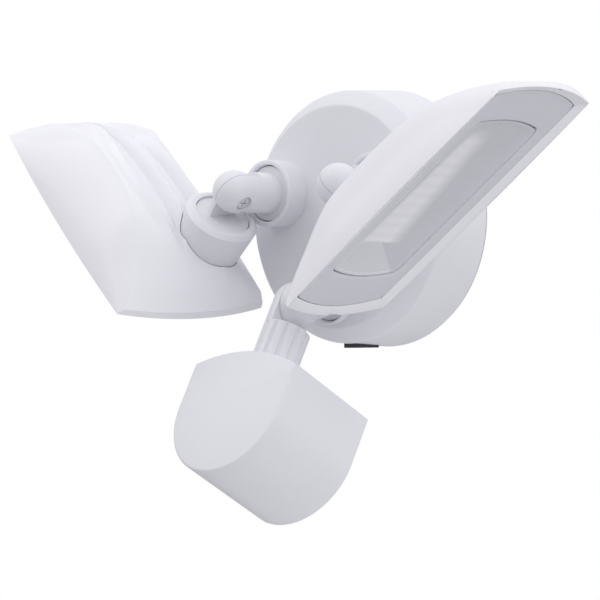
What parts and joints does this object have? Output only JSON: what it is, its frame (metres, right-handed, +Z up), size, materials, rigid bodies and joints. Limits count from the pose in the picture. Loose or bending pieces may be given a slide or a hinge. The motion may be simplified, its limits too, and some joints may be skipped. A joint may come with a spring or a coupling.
{
  "type": "floodlight security camera",
  "caption": "Wall-mounted twin-head floodlight with a swivelling camera pod on a round canopy.",
  "frame": {"origin": "middle of the canopy's back, in the plane of the wall", "axes": "+X to the right and +Z up for someone facing the wall, +Y into the wall"},
  "size_m": [0.3302, 0.1324, 0.211],
  "materials": {
    "white_plastic": "satin",
    "lamp_white": "satin",
    "plate_white": "satin",
    "window_lens": "gloss",
    "reflector_mirror": "polished",
    "led_board": "satin",
    "plated_steel": "satin",
    "bright_screw": "satin",
    "black_rubber": "matte",
    "circuit_board": "satin",
    "black_plastic": "satin",
    "dark_glass": "gloss",
    "lens_glass": "polished",
    "milky_plastic": "satin",
    "transformer_tape": "satin"
  },
  "bodies": {
    "canopy": {"canopy_shell": "white_plastic", "left_collar": "white_plastic", "right_collar": "white_plastic", "pod_collar": "white_plastic", "wall_bracket": "plated_steel", "canopy_gasket": "black_rubber", "canopy_lock_screw": "bright_screw", "driver_board": "circuit_board", "driver_transformer": "transformer_tape", "driver_capacitor": "black_plastic", "terminal_block": "milky_plastic", "driver_board_screw_1": "bright_screw", "driver_board_screw_2": "bright_screw"},
    "left_arm": {"left_arm": "white_plastic", "left_arm_lock_nut": "plated_steel", "left_knuckle_screw": "bright_screw", "left_friction_washer": "black_rubber"},
    "left_stem": {"left_stem": "white_plastic", "left_knuckle_nut": "bright_screw", "left_stem_lock_nut": "plated_steel"},
    "left_lamp": {"left_swivel_cup": "white_plastic", "left_lamp_housing": "lamp_white", "left_face_plate": "plate_white", "left_lens": "window_lens", "left_lens_gasket": "black_rubber", "left_reflector": "reflector_mirror", "left_led_board": "led_board"},
    "right_arm": {"right_arm": "white_plastic", "right_arm_lock_nut": "plated_steel", "right_knuckle_screw": "bright_screw", "right_friction_washer": "black_rubber"},
    "right_stem": {"right_stem": "white_plastic", "right_knuckle_nut": "bright_screw", "right_stem_lock_nut": "plated_steel"},
    "right_lamp": {"right_swivel_cup": "white_plastic", "right_lamp_housing": "lamp_white", "right_face_plate": "plate_white", "right_lens": "window_lens", "right_lens_gasket": "black_rubber", "right_reflector": "reflector_mirror", "right_led_board": "led_board"},
    "pod_arm": {"pod_arm": "white_plastic", "pod_arm_lock_nut": "plated_steel", "pod_knuckle_screw": "bright_screw", "pod_friction_washer": "black_rubber"},
    "pod_stem": {"pod_stem": "white_plastic", "pod_knuckle_nut": "bright_screw", "pod_stem_lock_nut": "plated_steel"},
    "pod": {"pod_housing": "white_plastic", "front_bezel": "white_plastic", "front_glass": "dark_glass", "lens_barrel": "black_plastic", "lens_element": "lens_glass", "infrared_board": "circuit_board", "main_board": "circuit_board", "motion_dome": "milky_plastic", "motion_sensor": "plated_steel", "speaker": "black_plastic", "reset_switch": "black_plastic"},
    "reset_button": {"reset_button": "black_plastic"}
  },
  "joints": [
    {"name": "left_arm_swivel", "type": "hinge", "parent": "canopy", "child": "left_arm", "pos_m": [-0.0348, -0.0412, 0.0124], "axis": [0, 1, 0], "range_deg": [-20, 90]},
    {"name": "left_knuckle", "type": "hinge", "parent": "left_arm", "child": "left_stem", "pos_m": [-0.0348, -0.0752, 0.0124], "axis": [0.7373, 0, -0.6756], "range_deg": [-80, 2]},
    {"name": "left_lamp_swivel", "type": "hinge", "parent": "left_stem", "child": "left_lamp", "pos_m": [-0.0348, -0.0752, 0.0124], "axis": [0.669, -0.1392, 0.7301], "range_deg": [-12, 25]},
    {"name": "right_arm_swivel", "type": "hinge", "parent": "canopy", "child": "right_arm", "pos_m": [0.0348, -0.0412, 0.0124], "axis": [0, -1, 0], "range_deg": [-20, 90]},
    {"name": "right_knuckle", "type": "hinge", "parent": "right_arm", "child": "right_stem", "pos_m": [0.0348, -0.0752, 0.0124], "axis": [0.7478, 0, 0.6639], "range_deg": [-80, 5]},
    {"name": "right_lamp_swivel", "type": "hinge", "parent": "right_stem", "child": "right_lamp", "pos_m": [0.0348, -0.0752, 0.0124], "axis": [0.6622, 0.0715, -0.7459], "range_deg": [-12, 50]},
    {"name": "pod_arm_swivel", "type": "hinge", "parent": "canopy", "child": "pod_arm", "pos_m": [0, -0.0412, -0.0363], "axis": [0, 0.9659, 0.2588], "range_deg": [-40, 40]},
    {"name": "pod_knuckle", "type": "hinge", "parent": "pod_arm", "child": "pod_stem", "pos_m": [0, -0.06805, -0.04349], "axis": [-1, 0, 0], "range_deg": [-35, 80]},
    {"name": "pod_swivel", "type": "hinge", "parent": "pod_stem", "child": "pod", "pos_m": [0, -0.06805, -0.04349], "axis": [0, 0.4879, 0.8729], "range_deg": [-180, 180]},
    {"name": "reset_button_press", "type": "slide", "parent": "pod", "child": "reset_button", "axis": [1, 0, 0], "range_m": [0, 0.0008], "stiffness_N_per_m": 300, "springref_m": -0.0005}
  ]
}
